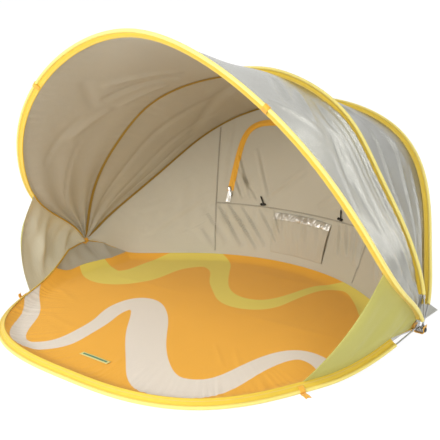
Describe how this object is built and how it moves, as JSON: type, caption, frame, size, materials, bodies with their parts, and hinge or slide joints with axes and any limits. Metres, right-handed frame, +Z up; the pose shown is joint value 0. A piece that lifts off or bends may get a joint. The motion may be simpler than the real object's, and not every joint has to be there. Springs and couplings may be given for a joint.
{
  "type": "pop-up beach tent",
  "caption": "Sprung wire hoops and a wire floor ring turn on a pin at each side and spread a shell canopy, side panels and a padded mat open at the front.",
  "frame": {"origin": "on the ground under the middle of the axis that joins the two hubs, on the underside of the rear mat", "axes": "+X to the tent's left-hand hub as seen from the back (the viewer's right from the front), +Y to the back wall, +Z up; the opening faces -Y"},
  "size_m": [1.134, 1.0646, 0.7198],
  "materials": {
    "yellow_sleeve": "matt woven sleeve",
    "orange_floor": "matt coated cloth",
    "silver_canopy": "silver coated cloth",
    "taupe_wall": "matt cloth",
    "yellow_green_panel": "matt cloth",
    "orange_webbing": "woven tape",
    "dark_yellow_tape": "binding tape",
    "silver_film": "glossy silver film",
    "grey_flap": "matt cloth",
    "black_net": "fine net",
    "grey_wire": "spring steel",
    "bright_metal": "bright plated",
    "black_plastic": "moulded"
  },
  "bodies": {
    "rear_floor": {"rear_mat": "orange_floor", "ring_rear_wire": "grey_wire", "ring_rear_sleeve": "yellow_sleeve", "back_wall": "taupe_wall", "window_net": "black_net", "zip_tape": "orange_webbing", "zip_slider": "bright_metal", "zip_pull": "bright_metal", "wall_seam_right": "taupe_wall", "wall_seam_left": "taupe_wall", "belt_seam": "taupe_wall", "wall_pocket": "taupe_wall", "pocket_band": "silver_film", "toggle_loop_right": "black_plastic", "toggle_loop_left": "black_plastic", "toggle_barrel_right": "black_plastic", "toggle_barrel_left": "black_plastic", "hub_pin_right": "black_plastic", "hub_pin_left": "black_plastic", "hub_sling_right": "orange_webbing", "hub_sling_left": "orange_webbing", "side_gusset_right": "taupe_wall", "side_gusset_left": "taupe_wall", "sand_flap_right": "grey_flap", "sand_flap_left": "grey_flap"},
    "front_floor": {"front_mat": "orange_floor", "ring_front_wire": "grey_wire", "ring_front_sleeve": "yellow_sleeve", "peg_loop_right": "orange_webbing", "peg_loop_left": "orange_webbing", "side_panel_right": "yellow_green_panel", "side_panel_left": "yellow_green_panel"},
    "front_hoop": {"front_hoop_wire": "grey_wire", "front_hoop_sleeve": "yellow_sleeve", "front_hoop_tab_right": "orange_webbing", "front_hoop_tab_left": "orange_webbing", "front_canopy": "silver_canopy"},
    "middle_hoop": {"middle_hoop_wire": "grey_wire", "middle_hoop_sleeve": "yellow_sleeve", "middle_seam_tape": "dark_yellow_tape", "hoop_ferrule_right": "bright_metal", "hoop_ferrule_left": "bright_metal", "rear_canopy": "silver_canopy"},
    "rear_hoop": {"rear_hoop_wire": "grey_wire", "rear_hoop_sleeve": "yellow_sleeve", "rear_seam_tape": "dark_yellow_tape"},
    "window_flap": {"window_flap": "taupe_wall"}
  },
  "joints": [
    {"name": "floor_fold", "type": "hinge", "parent": "rear_floor", "child": "front_floor", "pos_m": [0, 0, 0.062], "axis": [-1, 0, 0], "range_deg": [0, 140], "deforming": ["front_canopy", "rear_canopy", "back_wall", "window_net", "window_flap", "zip_tape", "wall_seam_right", "wall_seam_left", "belt_seam", "wall_pocket", "pocket_band", "side_panel_right", "side_panel_left", "side_gusset_right", "side_gusset_left"]},
    {"name": "front_hoop_fold", "type": "hinge", "parent": "rear_floor", "child": "front_hoop", "pos_m": [0, 0, 0.062], "axis": [-1, 0, 0], "range_deg": [0, 109]},
    {"name": "middle_hoop_fold", "type": "hinge", "parent": "rear_floor", "child": "middle_hoop", "pos_m": [0, 0, 0.062], "axis": [-1, 0, 0], "range_deg": [0, 72]},
    {"name": "rear_hoop_fold", "type": "hinge", "parent": "rear_floor", "child": "rear_hoop", "pos_m": [0, 0, 0.062], "axis": [-1, 0, 0], "range_deg": [0, 39.2]},
    {"name": "window_open", "type": "hinge", "parent": "rear_floor", "child": "window_flap", "pos_m": [0, 0.341, 0.17], "axis": [1, 0, 0], "range_deg": [0, 135]}
  ],
  "couplings": [
    {"joint": "front_hoop_fold", "follows": "floor_fold", "ratio": 0.777},
    {"joint": "middle_hoop_fold", "follows": "floor_fold", "ratio": 0.512},
    {"joint": "rear_hoop_fold", "follows": "floor_fold", "ratio": 0.279}
  ]
}
